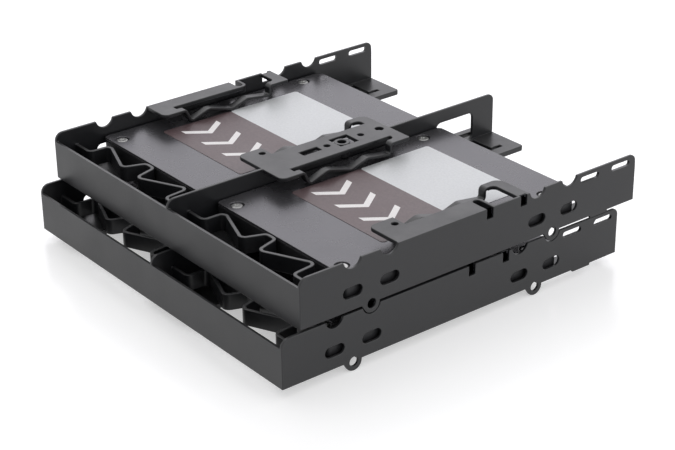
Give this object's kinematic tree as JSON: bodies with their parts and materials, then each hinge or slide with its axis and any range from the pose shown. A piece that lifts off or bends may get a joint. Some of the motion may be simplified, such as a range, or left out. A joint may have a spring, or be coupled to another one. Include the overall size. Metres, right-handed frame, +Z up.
{
  "type": "drive mounting bracket",
  "caption": "Stacked moulded trays that fit slim drives side by side into a wide drive bay, with wave and leaf springs that hold each drive.",
  "frame": {"origin": "middle of the object's width and length, on the surface that its lowest ears stand on", "axes": "+X across the bay to the right, +Y from the closed front walls to the open rear, +Z up through the stack"},
  "size_m": [0.146, 0.1544, 0.0396],
  "materials": {
    "tray_plastic": "matte moulded black plastic",
    "drive_case": "satin",
    "drive_lid": "satin grey",
    "screw": "bright",
    "board": "green solder mask",
    "chip": "black epoxy",
    "connector_plastic": "black",
    "contact": "gold plated",
    "label_band": "printed brown film",
    "label_plate": "white printed film"
  },
  "bodies": {
    "lower_tray": {"lower_tray": "tray_plastic"},
    "upper_tray": {"upper_tray": "tray_plastic"},
    "lower_left_drive": {"lower_left_case": "drive_case", "lower_left_lid": "drive_lid", "lower_left_lid_screws": "screw", "lower_left_circuit_board": "board", "lower_left_memory_chips": "chip", "lower_left_connector": "connector_plastic", "lower_left_contacts": "contact", "lower_left_label_band": "label_band", "lower_left_label_plate": "label_plate"},
    "lower_right_drive": {"lower_right_case": "drive_case", "lower_right_lid": "drive_lid", "lower_right_lid_screws": "screw", "lower_right_circuit_board": "board", "lower_right_memory_chips": "chip", "lower_right_connector": "connector_plastic", "lower_right_contacts": "contact", "lower_right_label_band": "label_band", "lower_right_label_plate": "label_plate"},
    "upper_left_drive": {"upper_left_case": "drive_case", "upper_left_lid": "drive_lid", "upper_left_lid_screws": "screw", "upper_left_circuit_board": "board", "upper_left_memory_chips": "chip", "upper_left_connector": "connector_plastic", "upper_left_contacts": "contact", "upper_left_label_band": "label_band", "upper_left_label_plate": "label_plate"},
    "upper_right_drive": {"upper_right_case": "drive_case", "upper_right_lid": "drive_lid", "upper_right_lid_screws": "screw", "upper_right_circuit_board": "board", "upper_right_memory_chips": "chip", "upper_right_connector": "connector_plastic", "upper_right_contacts": "contact", "upper_right_label_band": "label_band", "upper_right_label_plate": "label_plate"}
  },
  "joints": [
    {"name": "upper_tray_lift", "type": "slide", "parent": "lower_tray", "child": "upper_tray", "axis": [0, 0, 1], "range_m": [0, 0.06]},
    {"name": "lower_left_drive_slide", "type": "slide", "parent": "lower_tray", "child": "lower_left_drive", "axis": [0, 1, 0], "range_m": [0, 0.11]},
    {"name": "lower_right_drive_slide", "type": "slide", "parent": "lower_tray", "child": "lower_right_drive", "axis": [0, 1, 0], "range_m": [0, 0.11]},
    {"name": "upper_left_drive_slide", "type": "slide", "parent": "upper_tray", "child": "upper_left_drive", "axis": [0, 1, 0], "range_m": [0, 0.11]},
    {"name": "upper_right_drive_slide", "type": "slide", "parent": "upper_tray", "child": "upper_right_drive", "axis": [0, 1, 0], "range_m": [0, 0.11]}
  ]
}
